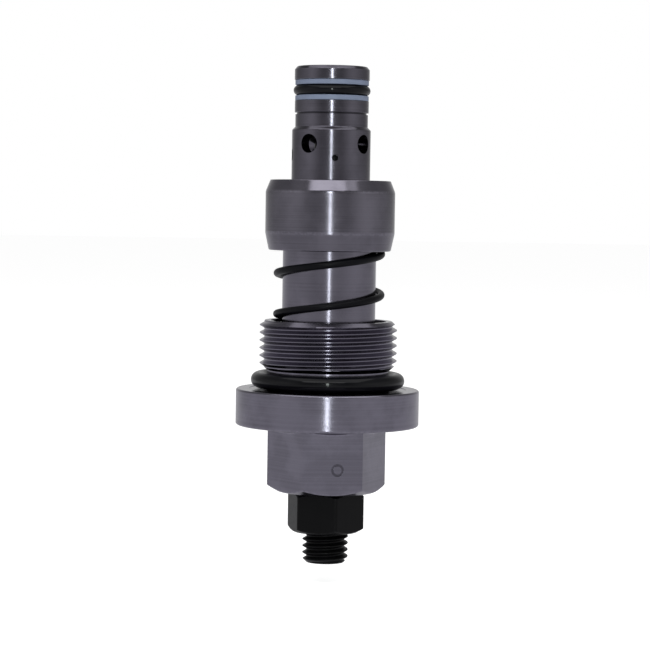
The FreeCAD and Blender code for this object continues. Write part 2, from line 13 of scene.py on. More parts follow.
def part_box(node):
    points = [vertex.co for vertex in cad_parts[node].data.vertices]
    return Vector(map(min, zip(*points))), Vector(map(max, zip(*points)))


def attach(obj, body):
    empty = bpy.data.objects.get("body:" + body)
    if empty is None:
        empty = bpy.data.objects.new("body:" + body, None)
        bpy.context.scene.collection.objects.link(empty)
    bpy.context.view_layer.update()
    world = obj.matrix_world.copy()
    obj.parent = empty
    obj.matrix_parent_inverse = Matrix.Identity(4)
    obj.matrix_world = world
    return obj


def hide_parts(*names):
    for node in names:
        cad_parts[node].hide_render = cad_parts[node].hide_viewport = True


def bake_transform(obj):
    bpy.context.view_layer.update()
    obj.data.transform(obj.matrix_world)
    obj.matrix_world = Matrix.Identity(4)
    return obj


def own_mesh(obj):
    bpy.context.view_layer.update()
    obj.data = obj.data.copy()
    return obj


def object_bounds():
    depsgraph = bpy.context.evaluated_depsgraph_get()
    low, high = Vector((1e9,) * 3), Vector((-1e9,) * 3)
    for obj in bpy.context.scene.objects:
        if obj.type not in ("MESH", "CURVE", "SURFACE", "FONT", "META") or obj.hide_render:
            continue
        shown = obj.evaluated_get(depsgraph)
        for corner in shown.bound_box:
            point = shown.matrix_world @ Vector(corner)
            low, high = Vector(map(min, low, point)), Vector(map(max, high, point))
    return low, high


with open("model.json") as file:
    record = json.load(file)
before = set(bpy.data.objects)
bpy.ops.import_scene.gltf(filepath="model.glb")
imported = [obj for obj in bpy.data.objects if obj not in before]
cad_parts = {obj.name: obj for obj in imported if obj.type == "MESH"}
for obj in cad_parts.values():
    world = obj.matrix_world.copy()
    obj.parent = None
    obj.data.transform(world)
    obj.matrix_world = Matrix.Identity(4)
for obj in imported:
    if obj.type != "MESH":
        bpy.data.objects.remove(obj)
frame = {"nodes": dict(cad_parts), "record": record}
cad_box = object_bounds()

MM = 0.001
FULL = math.tau
UPRIGHT = math.radians(90)


# ---------------------------------------------------------------- sizes

def low_of(node):
    """The lowest height of a CAD part."""
    return round(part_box(node)[0].z / MM, 2)


def top_of(node):
    """The highest height of a CAD part."""
    return round(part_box(node)[1].z / MM, 2)


def rim_of(node):
    """The largest radius of a round CAD part."""
    return round(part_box(node)[1].x / MM, 2)


# How far a machined corner is rounded, from the finest break to the widest.
HAIR, FINE, CRISP, LIGHT, EVEN, SOFT, MILD, BROAD, WIDE = 0.08, 0.1, 0.12, 0.15, 0.18, 0.2, 0.25, 0.35, 0.4
PLAIN = 0
# How much a groove, recess or cut is darkened: dark oil and painted shade together.
SHADE_AND_OIL_FULL, SHADE_AND_OIL_SOME, SHADE_AND_OIL_HALF = 1.0, 0.6, 0.5

SEAT_FACE = 0.0
CHAMFER = math.tan(math.radians(30))

HEX_FLATS = 27.0
HEX_ANGLE = math.radians(6.8)
HEX_LOW = low_of("valve_body")
HEX_FACE = HEX_FLATS / 2 - 0.5
FLANGE_RADIUS = rim_of("valve_body")
FLANGE_LOW = -9.5
FLANGE_BREAK = 0.35
BLEND_RADIUS = 16.4
BLEND_TALL = 1.4
LAND_RADIUS = 20.6
LAND_DROP = 0.12
NECK_RADIUS = 16.0
NECK_TOP = 4.9

THREAD_RADIUS = 18.0
THREAD_PITCH = 2.0
THREAD_VALLEY = 4.6
THREAD_TOP = top_of("valve_body")
RUN_IN_TALL = 1.8
LEAD_RADIUS = 16.6
LEAD_TALL = 1.2

PISTON_BORE = 9.0
PISTON_FLOOR = -12.0
SCREW_BORE = 6.1
BORE_BREAK = 0.5
POCKET_RADIUS = 15.1

SLEEVE_RADIUS = rim_of("guide_sleeve")
SLEEVE_LOW = low_of("guide_sleeve")
SLEEVE_TOP = top_of("guide_sleeve")
SPRING_LOW = low_of("makeup_spring")
SPRING_TOP = top_of("makeup_spring")

NUT_FLATS = 18.0
NUT_ANGLE = math.radians(45.3)
NUT_LOW = low_of("lock_nut")
NUT_FACE = 8.45
NUT_SINK = 0.9

SCREW_RADIUS = rim_of("adjusting_screw")
SCREW_PITCH = 1.75
SCREW_LOW = low_of("adjusting_screw")
SCREW_TOP = top_of("adjusting_screw")
SCREW_NECK = -9.0
SCREW_END_RADIUS = 4.92
SCREW_TIP_RADIUS = 4.5
KEY_FLATS = 6.0
KEY_DEPTH = 6.5

# Closed ends of a coil spring: turns that lie flat, turns in which they settle, and lift in wire sizes.
FLAT_TURNS = 0.75
SETTLE_TURNS = 0.25
FIRST_LIFT = 0.44
END_LIFT = 0.46


# ---------------------------------------------------------------- outlines

def softened(corners):
    """Rounds the corners of an outline in the (radius, height) plane.

    Each corner is (radius, height, rounding) in millimetres, or (radius, height, 0, darkening) at the
    bottom of a groove, darkened there by dark oil and painted shade. The result is (radius, height, edge,
    darkening) rows, where edge runs from 0 on plain walls to 1 in the middle of a rounded corner."""
    reach, guard, steps = 0.3, 1.5, 4
    rows = []
    for index, (radius, height, rounding, *grime) in enumerate(corners):
        here = Vector((radius, height))
        if rounding <= 0.0 or index in (0, len(corners) - 1):
            rows.append((radius, height, 0.0, *(grime or (0.0,))))
            continue
        before = Vector(corners[index - 1][:2]) - here
        after = Vector(corners[index + 1][:2]) - here
        cut = min(rounding, reach * before.length, reach * after.length)
        start = here + before.normalized() * cut
        end = here + after.normalized() * cut
        guard_in = here + before.normalized() * cut * guard
        guard_out = here + after.normalized() * cut * guard
        rows.append((guard_in.x, guard_in.y, 0.0, 0.0))
        for step in range(steps):
            t = step / (steps - 1)
            point = start * (1 - t) ** 2 + here * 2 * t * (1 - t) + end * t ** 2
            rows.append((point.x, point.y, 0.5 + 2 * t * (1 - t), 0.0))
        rows.append((guard_out.x, guard_out.y, 0.0, 0.0))
    return rows


def hexagon_radius(across_flats, angle, turned_by, corner_trim=0.12):
    """Distance from the axis to a hexagon's side, with its upright corners slightly rounded."""
    inner = across_flats / 2
    sector = (angle - turned_by) % (FULL / 6) - FULL / 12
    corner = inner / math.cos(FULL / 12)
    exact = inner / math.cos(sector)
    return min(exact, corner - corner_trim)


# ---------------------------------------------------------------- meshes

def finished_mesh(name, mesh_data, sharp=32.0):
    """Merges doubles, turns all faces outward and marks edges sharper than an angle."""
    work = bmesh.new()
    work.from_mesh(mesh_data)
    bmesh.ops.remove_doubles(work, verts=work.verts, dist=1e-6)
    bmesh.ops.dissolve_degenerate(work, edges=work.edges, dist=1e-7)
    bmesh.ops.recalc_face_normals(work, faces=work.faces)
    work.to_mesh(mesh_data)
    work.free()
    mesh_data.polygons.foreach_set("use_smooth", [True] * len(mesh_data.polygons))
    mesh_data.set_sharp_from_angle(angle=math.radians(sharp))
    mesh_data.name = name
    return mesh_data


def lathe_mesh(name, column, segments, start=0.0, closed=True):
    """Turns a column of (radius, height, edge, darkening) rows round the axis; column(angle) gives them.
    The darkening, dark oil with painted shade, is kept on the mesh.
    """
    points, edges, oil_and_shade_values, faces = [], [], [], []
    for turn_index in range(segments):
        angle = start + FULL * turn_index / segments
        rows = column(angle)
        for radius, height, edge, grime in rows:
            across, depth = radius * math.cos(angle) * MM, radius * math.sin(angle) * MM
            points.append((across, depth, height * MM))
            edges.append(edge)
            oil_and_shade_values.append(grime)
    count = len(rows)
    spans = count if closed else count - 1
    for turn_index in range(segments):
        this, after = turn_index * count, ((turn_index + 1) % segments) * count
        for row in range(spans):
            up = (row + 1) % count
            faces.append((this + row, after + row, after + up, this + up))
    data = bpy.data.meshes.new(name)
    data.from_pydata(points, [], faces)
    for label, values in (("edge_wear", edges), ("grime", oil_and_shade_values)):
        data.attributes.new(label, "FLOAT", "POINT").data.foreach_set("value", values)
    return data


def turned_mesh(name, corners, segments=192):
    """A round piece from one outline; the outline closes on itself or ends on the axis."""
    rows = softened(corners)
    on_axis = corners[0][0] == 0.0 and corners[-1][0] == 0.0
    return lathe_mesh(name, lambda angle: rows, segments, closed=not on_axis)


def shown(name, data):
    """An object at the origin that shows the mesh."""
    piece = bpy.data.objects.new(name, data)
    bpy.context.scene.collection.objects.link(piece)
    return piece


def joined(name, meshes):
    """One mesh made from several, kept in place."""
    work = bmesh.new()
    for part in meshes:
        work.from_mesh(part)
    data = bpy.data.meshes.new(name)
    work.to_mesh(data)
    work.free()
    return data


# ---------------------------------------------------------------- node trees

class Hands:
    """Short hands for building any node tree."""

    def __init__(self, tree):
        self.tree = tree

    def node(self, kind, **settings):
        made = self.tree.nodes.new(kind)
        for key, value in settings.items():
            setattr(made, key, value)
        return made

    def feed(self, socket, value):
        if isinstance(value, bpy.types.NodeSocket):
            self.tree.links.new(value, socket)
        else:
            socket.default_value = value

    def feed_all(self, made, *values):
        """Fills a node's first sockets in order and gives its first result."""
        for socket, value in zip(made.inputs, values):
            self.feed(socket, value)
        return made.outputs[0]

    def math(self, operation, *values, clamp=False):
        return self.feed_all(self.node("ShaderNodeMath", operation=operation, use_clamp=clamp), *values)

    def point(self, across, depth, height):
        return self.feed_all(self.node("ShaderNodeCombineXYZ"), across, depth, height)

    def split(self, vector):
        """The three parts of a vector."""
        made = self.node("ShaderNodeSeparateXYZ")
        self.feed(made.inputs[0], vector)
        return made.outputs


class Maker(Hands):
    """Short hands for building a geometry node tree."""

    def __init__(self, name):
        super().__init__(bpy.data.node_groups.new(name, "GeometryNodeTree"))
        self.tree.interface.new_socket("Geometry", in_out="OUTPUT", socket_type="NodeSocketGeometry")
        self.entry = self.node("NodeGroupInput")
        self.exit = self.node("NodeGroupOutput")

    def number(self, name, default, kind="NodeSocketFloat"):
        socket = self.tree.interface.new_socket(name, in_out="INPUT", socket_type=kind)
        if default is not None:
            socket.default_value = default
        return self.entry.outputs[name]

    def place(self, geometry, **sockets):
        """Moves points to a Position or by an Offset."""
        made = self.node("GeometryNodeSetPosition")
        self.feed(made.inputs["Geometry"], geometry)
        for name, value in sockets.items():
            self.feed(made.inputs[name], value)
        return made.outputs[0]

    def keep(self, geometry, name, value):
        """Stores a number on every point."""
        made = self.node("GeometryNodeStoreNamedAttribute", data_type="FLOAT", domain="POINT")
        self.feed(made.inputs["Geometry"], geometry)
        self.feed(made.inputs["Name"], name)
        self.feed(made.inputs["Value"], value)
        return made.outputs[0]

    def finish(self, geometry, material):
        real = self.node("GeometryNodeRealizeInstances")
        paint = self.node("GeometryNodeSetMaterial")
        self.feed(real.inputs["Geometry"], geometry)
        self.feed(paint.inputs["Geometry"], real.outputs[0])
        self.feed(paint.inputs["Material"], material)
        self.tree.links.new(paint.outputs[0], self.exit.inputs[0])
        return self.tree


def grown(name, tree, values):
    """Runs a tree with its named inputs and keeps the result as a plain mesh."""
    holder = shown(name + "_maker", bpy.data.meshes.new(name + "_seed"))
    modifier = holder.modifiers.new("Maker", "NODES")
    modifier.node_group = tree
    for item in tree.interface.items_tree:
        if item.in_out == "INPUT" and item.name in values:
            modifier[item.identifier] = values[item.name]
    bpy.context.view_layer.update()
    graph = bpy.context.evaluated_depsgraph_get()
    data = bpy.data.meshes.new_from_object(holder.evaluated_get(graph))
    holder.modifiers.remove(modifier)
    bpy.data.objects.remove(holder)
    return data


def coil_spring_tree():
    """A right-hand compression spring with closed, ground ends, or a share of one."""
    make = Maker("coil_spring")
    middle = make.number("Middle Radius", 0.0136)
    wire = make.number("Wire Radius", 0.001125)
    low = make.number("Low End", 0.0)
    high = make.number("High End", 0.02)
    start = make.number("Start Turn", 0.0)
    active = make.number("Active Turns", 2.0)
    first_share = make.number("First Share", 0.0)
    last_share = make.number("Last Share", 1.0)
    steps = make.number("Steps", 200, "NodeSocketInt")
    sides = make.number("Wire Sides", 24, "NodeSocketInt")
    material = make.number("Material", None, "NodeSocketMaterial")
    total = make.math("ADD", active, 2 * FLAT_TURNS)
    line = make.node("GeometryNodeMeshLine", mode="OFFSET")
    make.feed(line.inputs["Count"], steps)
    index = make.node("GeometryNodeInputIndex").outputs[0]
    step_share = make.math("DIVIDE", index, make.math("SUBTRACT", steps, 1.0))
    span = make.math("SUBTRACT", last_share, first_share)
    share = make.math("ADD", first_share, make.math("MULTIPLY", step_share, span))
    turns = make.math("MULTIPLY", share, total)
    tall = make.math("SUBTRACT", high, low)
    first = make.math("MULTIPLY", wire, FIRST_LIFT)
    rise = make.math("MULTIPLY", wire, END_LIFT)
    climb = make.math("SUBTRACT", tall, make.math("MULTIPLY", wire, 2 * FIRST_LIFT + 4 * END_LIFT))
    bend = make.math("ADD", active, FLAT_TURNS)
    settled = make.math("ADD", bend, SETTLE_TURNS)
    height = make.math("ADD", low, first)
    for begin, end, amount in (
            (0.0, FLAT_TURNS - SETTLE_TURNS, rise), (FLAT_TURNS - SETTLE_TURNS, FLAT_TURNS, rise),
            (FLAT_TURNS, bend, climb), (bend, settled, rise), (settled, total, rise)):
        ramp = make.feed_all(make.node("ShaderNodeMapRange", clamp=True), turns, begin, end, 0.0, amount)
        height = make.math("ADD", height, ramp)
    from_start = make.math("ADD", turns, make.math("SUBTRACT", start, FLAT_TURNS))
    angle = make.math("MULTIPLY", from_start, FULL)
    across = make.math("MULTIPLY", middle, make.math("COSINE", angle))
    depth = make.math("MULTIPLY", middle, make.math("SINE", angle))
    path = make.node("GeometryNodeMeshToCurve")
    make.feed(path.inputs[0], make.place(line.outputs[0], Position=make.point(across, depth, height)))
    section = make.node("GeometryNodeCurvePrimitiveCircle")
    make.feed(section.inputs["Resolution"], sides)
    make.feed(section.inputs["Radius"], wire)
    sweep = make.node("GeometryNodeCurveToMesh")
    make.feed(sweep.inputs["Curve"], path.outputs[0])
    make.feed(sweep.inputs["Profile Curve"], section.outputs[0])
    make.feed(sweep.inputs["Fill Caps"], True)
    where = make.split(make.node("GeometryNodeInputPosition").outputs[0])
    flat = make.math("MINIMUM", make.math("MAXIMUM", where[2], low), high)
    ground = make.place(sweep.outputs[0], Position=make.point(where[0], where[1], flat))
    return make.finish(ground, material)


def screw_thread_tree():
    """The flanks of a right-hand 60 degree thread, running out into a cone at each end."""
    make = Maker("screw_thread")
    crest = make.number("Crest Radius", 0.018)
    root = make.number("Root Radius", 0.01677)
    pitch = make.number("Pitch", 0.002)
    low = make.number("Low End", 0.0)
    high = make.number("High End", 0.01)
    low_radius = make.number("Low Radius", 0.016)
    low_slope = make.number("Low Slope", 1.0)
    high_radius = make.number("High Radius", 0.016)
    high_slope = make.number("High Slope", 1.0)
    start = make.number("Start Angle", 0.0)
    valley = make.number("First Valley", 0.0)
    around = make.number("Around", 193, "NodeSocketInt")
    rows = make.number("Rows", 100, "NodeSocketInt")
    per_pitch = make.number("Rows Per Pitch", 16.0)
    material = make.number("Material", None, "NodeSocketMaterial")
    root_flat, crest_power, crest_wear, crest_less_shade, cone_less_shade = 12.0, 6.0, 0.4, 0.8, 0.85
    sheet = make.node("GeometryNodeMeshGrid")
    make.feed(sheet.inputs["Size X"], 1.0)
    make.feed(sheet.inputs["Size Y"], 1.0)
    make.feed(sheet.inputs["Vertices X"], around)
    make.feed(sheet.inputs["Vertices Y"], rows)
    where = make.split(make.node("GeometryNodeInputPosition").outputs[0])
    lap = make.math("ADD", where[0], 0.5)
    climb = make.math("MULTIPLY", make.math("ADD", where[1], 0.5), make.math("SUBTRACT", rows, 1.0))
    climb = make.math("DIVIDE", climb, per_pitch)
    raw = make.math("ADD", make.math("MULTIPLY", make.math("ADD", climb, lap), pitch), valley)
    height = make.math("MINIMUM", make.math("MAXIMUM", raw, low), high)
    phase = make.math("FRACT", make.math("ADD", climb, 0.5))
    off = make.math("MULTIPLY", make.math("ABSOLUTE", make.math("SUBTRACT", phase, 0.5)), pitch)
    off = make.math("SUBTRACT", off, make.math("DIVIDE", pitch, root_flat))
    flank = make.math("ADD", root, make.math("MULTIPLY", off, math.sqrt(3)))
    plain = make.math("MAXIMUM", root, make.math("MINIMUM", flank, crest))
    run_in = make.math("MULTIPLY", make.math("SUBTRACT", height, low), low_slope)
    radius = make.math("MINIMUM", plain, make.math("ADD", low_radius, run_in))
    run_out = make.math("MULTIPLY", make.math("SUBTRACT", high, height), high_slope)
    radius = make.math("MINIMUM", radius, make.math("ADD", high_radius, run_out))
    angle = make.math("ADD", start, make.math("MULTIPLY", lap, FULL))
    across = make.math("MULTIPLY", radius, make.math("COSINE", angle))
    depth = make.math("MULTIPLY", radius, make.math("SINE", angle))
    wrapped = make.place(sheet.outputs[0], Position=make.point(across, depth, height))
    thread_tall = make.math("SUBTRACT", crest, root)
    share = make.math("DIVIDE", make.math("SUBTRACT", radius, root), thread_tall)
    share = make.math("MAXIMUM", share, 0.0)
    wear = make.math("MULTIPLY", make.math("POWER", share, crest_power), crest_wear)
    worn = make.keep(wrapped, "edge_wear", wear)
    # Painted shade with oil: the thread is darkened towards its roots, less at the crests and on the
    # run-out cones.
    shade_and_oil = make.math("SUBTRACT", 1.0, make.math("MULTIPLY", share, crest_less_shade))
    on_cone = make.math("GREATER_THAN", make.math("SUBTRACT", plain, radius), 1e-5)
    settled = make.math("SUBTRACT", 1.0, make.math("MULTIPLY", on_cone, cone_less_shade))
    shaded_and_oiled = make.keep(worn, "grime", make.math("MULTIPLY", shade_and_oil, settled))
    weld = make.node("GeometryNodeMergeByDistance")
    make.feed(weld.inputs["Geometry"], shaded_and_oiled)
    make.feed(weld.inputs["Distance"], 2e-6)
    return make.finish(weld.outputs[0], material)


def seal_ring_tree():
    """A moulded ring with a round section."""
    make = Maker("seal_ring")
    middle = make.number("Middle Radius", 0.018)
    section = make.number("Section Radius", 0.002)
    height = make.number("Height", 0.0)
    around = make.number("Around", 192, "NodeSocketInt")
    sides = make.number("Sides", 40, "NodeSocketInt")
    material = make.number("Material", None, "NodeSocketMaterial")
    loop = make.node("GeometryNodeCurvePrimitiveCircle")
    make.feed(loop.inputs["Resolution"], around)
    make.feed(loop.inputs["Radius"], middle)
    profile = make.node("GeometryNodeCurvePrimitiveCircle")
    make.feed(profile.inputs["Resolution"], sides)
    make.feed(profile.inputs["Radius"], section)
    sweep = make.node("GeometryNodeCurveToMesh")
    make.feed(sweep.inputs["Curve"], loop.outputs[0])
    make.feed(sweep.inputs["Profile Curve"], profile.outputs[0])
    lifted = make.place(sweep.outputs[0], Offset=make.point(0.0, 0.0, height))
    return make.finish(lifted, material)


# ---------------------------------------------------------------- finishes

class Shade(Hands):
    """Short hands for building a shader tree, in a material or in a group."""

    def noise(self, vector, scale, detail=3.0, roughness=0.5):
        made = self.node("ShaderNodeTexNoise")
        self.feed(made.inputs["Vector"], vector)
        self.feed(made.inputs["Scale"], scale)
        made.inputs["Detail"].default_value = detail
        made.inputs["Roughness"].default_value = roughness
        return made.outputs["Fac"]

    def ramp(self, value, low, high):
        made = self.node("ShaderNodeMapRange", interpolation_type="SMOOTHSTEP")
        return self.feed_all(made, value, low, high, 0.0, 1.0)

    def mix(self, factor, first, second):
        """Between two colours."""
        made = self.node("ShaderNodeMix", data_type="RGBA")
        self.feed(made.inputs["Factor"], factor)
        self.feed(made.inputs[6], first)
        self.feed(made.inputs[7], second)
        return made.outputs[2]

    def blend(self, factor, low, high):
        """Between two numbers."""
        made = self.node("ShaderNodeMix", data_type="FLOAT")
        self.feed(made.inputs["Factor"], factor)
        self.feed(made.inputs[2], low)
        self.feed(made.inputs[3], high)
        return made.outputs[0]

    def group(self, name, **values):
        made = self.node("ShaderNodeGroup")
        made.node_tree = GROUPS[name]
        for label, value in values.items():
            self.feed(made.inputs[label.replace("_", " ")], value)
        return made.outputs


def new_group(name, inputs, outputs):
    """An empty shader node group with named number inputs and outputs."""
    tree = bpy.data.node_groups.new(name, "ShaderNodeTree")
    for label, default in inputs.items():
        socket = tree.interface.new_socket(label, in_out="INPUT", socket_type="NodeSocketFloat")
        socket.default_value = default
    for label in outputs:
        tree.interface.new_socket(label, in_out="OUTPUT", socket_type="NodeSocketFloat")
    shade = Shade(tree)
    return shade, shade.node("NodeGroupInput").outputs, shade.node("NodeGroupOutput").inputs


def millimetres(shade):
    """Object coordinates in millimetres."""
    scaled = shade.node("ShaderNodeVectorMath", operation="SCALE")
    shade.feed(scaled.inputs[0], shade.node("ShaderNodeTexCoord").outputs["Object"])
    shade.feed(scaled.inputs["Scale"], 1 / MM)
    return scaled.outputs[0]


def turning_marks_group():
    """Fine rings left by the lathe tool, on walls and on faces alike."""
    shade, given, out = new_group(
        "turning_marks", {"Marks Per Millimetre": 6.0, "Waviness": 0.06}, ["Height", "Bands"])
    wall_tilt, face_tilt, coarse_share = 0.6, 0.8, 0.3
    place = millimetres(shade)
    parts = shade.split(place)
    across = shade.math("MULTIPLY", parts[0], parts[0])
    depth = shade.math("MULTIPLY", parts[1], parts[1])
    radius = shade.math("SQRT", shade.math("ADD", across, depth))
    facing = shade.split(shade.node("ShaderNodeTexCoord").outputs["Normal"])
    level = shade.ramp(shade.math("ABSOLUTE", facing[2]), wall_tilt, face_tilt)
    wobble = shade.math("MULTIPLY", shade.noise(place, 0.15, 2.0), given["Waviness"])
    along = shade.math("ADD", shade.blend(level, parts[2], radius), wobble)
    line = shade.point(shade.math("MULTIPLY", along, given["Marks Per Millimetre"]), 0.0, 0.0)
    shade.feed(out["Height"], shade.noise(line, 1.0, 2.0, 0.6))
    shade.feed(out["Bands"], shade.noise(line, coarse_share, 3.0, 0.65))
    return shade.tree


def stains_group():
    """Soft tonal clouds and small oily smudges."""
    shade, given, out = new_group("oil_and_stains", {"Size": 9.0, "Contrast": 0.5}, ["Clouds", "Smudges"])
    middle, spread, smudges_per_cloud = 0.5, 0.3, 5.0
    place = millimetres(shade)
    per_cloud = shade.math("DIVIDE", 1.0, given["Size"])
    cloud = shade.noise(place, per_cloud, 4.0, 0.55)
    reach = shade.math("MULTIPLY", given["Contrast"], spread)
    low, high = shade.math("SUBTRACT", middle, reach), shade.math("ADD", middle, reach)
    shade.feed(out["Clouds"], shade.ramp(cloud, low, high))
    smudge = shade.noise(place, shade.math("MULTIPLY", per_cloud, smudges_per_cloud), 5.0, 0.65)
    shade.feed(out["Smudges"], shade.ramp(smudge, 0.52, 0.72))
    return shade.tree


def wear_oil_and_shade_group():
    """Where corners are rubbed bright, and where grooves, thread roots and cuts are darkened by dark oil
    and painted shade, from the marks kept on the mesh.
    """
    shade, given, out = new_group("wear_oil_and_shade", {"Amount": 0.5, "Grit": 1.4, "Oil": 0.7}, ["Wear", "Oil And Shade"])
    mark = shade.node("ShaderNodeAttribute", attribute_name="edge_wear").outputs["Fac"]
    grit = shade.noise(millimetres(shade), given["Grit"], 4.0, 0.7)
    broken = shade.ramp(grit, 0.36, 0.62)
    wear = shade.math("MULTIPLY", shade.math("MULTIPLY", mark, broken), given["Amount"], clamp=True)
    shade.feed(out["Wear"], wear)
    shade_and_oil = shade.node("ShaderNodeAttribute", attribute_name="grime").outputs["Fac"]
    shade.feed(out["Oil And Shade"], shade.math("MULTIPLY", shade_and_oil, given["Oil"], clamp=True))
    return shade.tree


def grit_group():
    """A fine pebbled surface, as on black oxide and moulded rubber."""
    shade, given, out = new_group("fine_grit", {"Grains Per Millimetre": 5.0}, ["Height"])
    shade.feed(out["Height"], shade.noise(millimetres(shade), given["Grains Per Millimetre"], 3.0, 0.6))
    return shade.tree


GROUPS = {
    "turning": turning_marks_group(),
    "stains": stains_group(),
    "edges": wear_oil_and_shade_group(),
    "grit": grit_group(),
}

# The near-black that grooves, thread roots and cuts are darkened to: dark oil and painted shade.
OIL_AND_SHADE_COLOUR = (0.012, 0.012, 0.015, 1.0)
RUBBED_BLACK = (0.09, 0.09, 0.1, 1.0)


def tinted(colour, share=1.0):
    """A colour made lighter or darker, with full cover."""
    return [channel * share for channel in colour] + [1.0]


def blank_material(name):
    """A material with only its Principled shader, and the hands to build on it."""
    material = bpy.data.materials.new(name + "_finish")
    material.use_nodes = True
    return material, Shade(material.node_tree), material.node_tree.nodes["Principled BSDF"]


def bumped(shade, shader, height, relief):
    """Feeds a height to the shader's normal; relief is its depth in millimetres."""
    bump = shade.node("ShaderNodeBump")
    bump.inputs["Strength"].default_value = 1.0
    bump.inputs["Distance"].default_value = relief * MM
    shade.feed(bump.inputs["Height"], height)
    shade.feed(shader.inputs["Normal"], bump.outputs[0])


def steel_finish(name, colour, roughness=0.14, marks=6.0, oil=0.7):
    """Machined steel: turning marks, tonal clouds, oily smudges, rubbed corners, and grooves, roots and
    cuts darkened by oil and painted shade.
    """
    material, shade, shader = blank_material(name)
    shader.inputs["Metallic"].default_value = 1.0
    turning = shade.group("turning", Marks_Per_Millimetre=marks)
    stains = shade.group("stains", Size=9.0, Contrast=0.4)
    edges = shade.group("edges", Amount=0.35, Oil=oil)
    tone = shade.mix(stains["Clouds"], tinted(colour, 0.78), tinted(colour))
    banded = shade.math("MULTIPLY", shade.ramp(turning["Bands"], 0.3, 0.7), 0.5)
    tone = shade.mix(banded, tone, tinted(colour, 1.22))
    tone = shade.mix(edges["Wear"], tone, tinted(colour, 1.9))
    # Grooves, thread roots and cuts darkened towards near-black: oil and painted shade.
    tone = shade.mix(edges["Oil And Shade"], tone, OIL_AND_SHADE_COLOUR)
    shade.feed(shader.inputs["Base Color"], tone)
    rough = shade.blend(stains["Smudges"], roughness, roughness * 1.35)
    rough = shade.math("ADD", rough, shade.math("MULTIPLY", turning["Bands"], 0.05))
    shade.feed(shader.inputs["Roughness"], rough)
    bumped(shade, shader, turning["Height"], relief=0.0015)
    return material


def black_finish(name, colour, gloss, wear):
    """Blackened steel: dark, faintly pebbled, rubbed grey at the corners."""
    roughness = 0.36
    material, shade, shader = blank_material(name)
    shader.inputs["Specular IOR Level"].default_value = gloss
    stains = shade.group("stains", Size=6.0, Contrast=0.6)
    edges = shade.group("edges", Amount=wear)
    grit = shade.group("grit", Grains_Per_Millimetre=5.0)
    tone = shade.mix(stains["Clouds"], tinted(colour, 0.7), tinted(colour))
    tone = shade.mix(edges["Wear"], tone, RUBBED_BLACK)
    shade.feed(shader.inputs["Base Color"], tone)
    rough = shade.blend(stains["Smudges"], roughness, roughness * 1.3)
    shade.feed(shader.inputs["Roughness"], rough)
    bumped(shade, shader, grit["Height"], relief=0.006)
    return material


def rubber_finish(name, colour):
    """Moulded seal rubber under a thin oily film."""
    roughness = 0.3
    material, shade, shader = blank_material(name)
    shader.inputs["Coat Weight"].default_value = 0.35
    shader.inputs["Coat Roughness"].default_value = 0.06
    shader.inputs["Specular IOR Level"].default_value = 0.04
    stains = shade.group("stains", Size=5.0, Contrast=0.7)
    grit = shade.group("grit", Grains_Per_Millimetre=9.0)
    tone = shade.mix(stains["Clouds"], tinted(colour), tinted(colour, 1.5))
    shade.feed(shader.inputs["Base Color"], tone)
    rough = shade.blend(stains["Smudges"], roughness, roughness * 1.4)
    shade.feed(shader.inputs["Roughness"], rough)
    bumped(shade, shader, grit["Height"], relief=0.004)
    return material


def plastic_finish(name, colour):
    """Cut fluoropolymer ring, waxy, with fine knife marks."""
    material, shade, shader = blank_material(name)
    shader.inputs["Specular IOR Level"].default_value = 0.35
    turning = shade.group("turning", Marks_Per_Millimetre=9.0)
    stains = shade.group("stains", Size=4.0, Contrast=0.5)
    tone = shade.mix(stains["Clouds"], tinted(colour, 0.88), tinted(colour))
    shade.feed(shader.inputs["Base Color"], tone)
    shade.feed(shader.inputs["Roughness"], shade.blend(turning["Bands"], 0.4, 0.55))
    bumped(shade, shader, turning["Height"], relief=0.004)
    return material


FINISHES = {
    "body_steel": steel_finish("body_steel", (0.204, 0.193, 0.238), marks=5.0, oil=0.5),
    "ground_steel": steel_finish("ground_steel", (0.172, 0.162, 0.198), marks=7.0),
    "nose_steel": steel_finish("nose_steel", (0.128, 0.121, 0.147), marks=7.0),
    "collar_steel": steel_finish("collar_steel", (0.160, 0.151, 0.182), marks=8.0),
    # The inner parts' near-black colour is painted shade for parts seen only inside the nose and ports,
    # with some oil.
    "hardened_steel": steel_finish("hardened_steel", (0.05, 0.05, 0.055), roughness=0.4, marks=9.0),
    "spring_steel": black_finish("spring_steel", (0.005, 0.005, 0.007), gloss=0.10, wear=0.0),
    "black_oxide": black_finish("black_oxide", (0.0035, 0.0035, 0.004), gloss=0.12, wear=0.15),
    "seal_rubber": rubber_finish("seal_rubber", (0.0020, 0.0020, 0.0032)),
    "backup_white": plastic_finish("backup_white", (0.24, 0.285, 0.40)),
}


# ---------------------------------------------------------------- pieces

def thread_shell(name, crest, pitch, low, high, low_radius, low_slope, high_radius, high_slope,
                 start, valley_at_front, segments, per_pitch, material):
    """The screw thread's surface between two end circles, all sizes in millimetres."""
    thread_depth = 0.6134 * pitch
    valley = valley_at_front + pitch * start / FULL
    first = valley + (math.floor((low - valley) / pitch) - 1) * pitch
    pitches = math.ceil((high - first) / pitch) + 1
    return grown(name, THREAD_TREE, {
        "Crest Radius": crest * MM, "Root Radius": (crest - thread_depth) * MM, "Pitch": pitch * MM,
        "Low End": low * MM, "High End": high * MM, "Low Radius": low_radius * MM,
        "Low Slope": low_slope, "High Radius": high_radius * MM, "High Slope": high_slope,
        "Start Angle": start, "First Valley": first * MM, "Around": segments + 1,
        "Rows": int(pitches * per_pitch) + 1, "Rows Per Pitch": float(per_pitch), "Material": material})


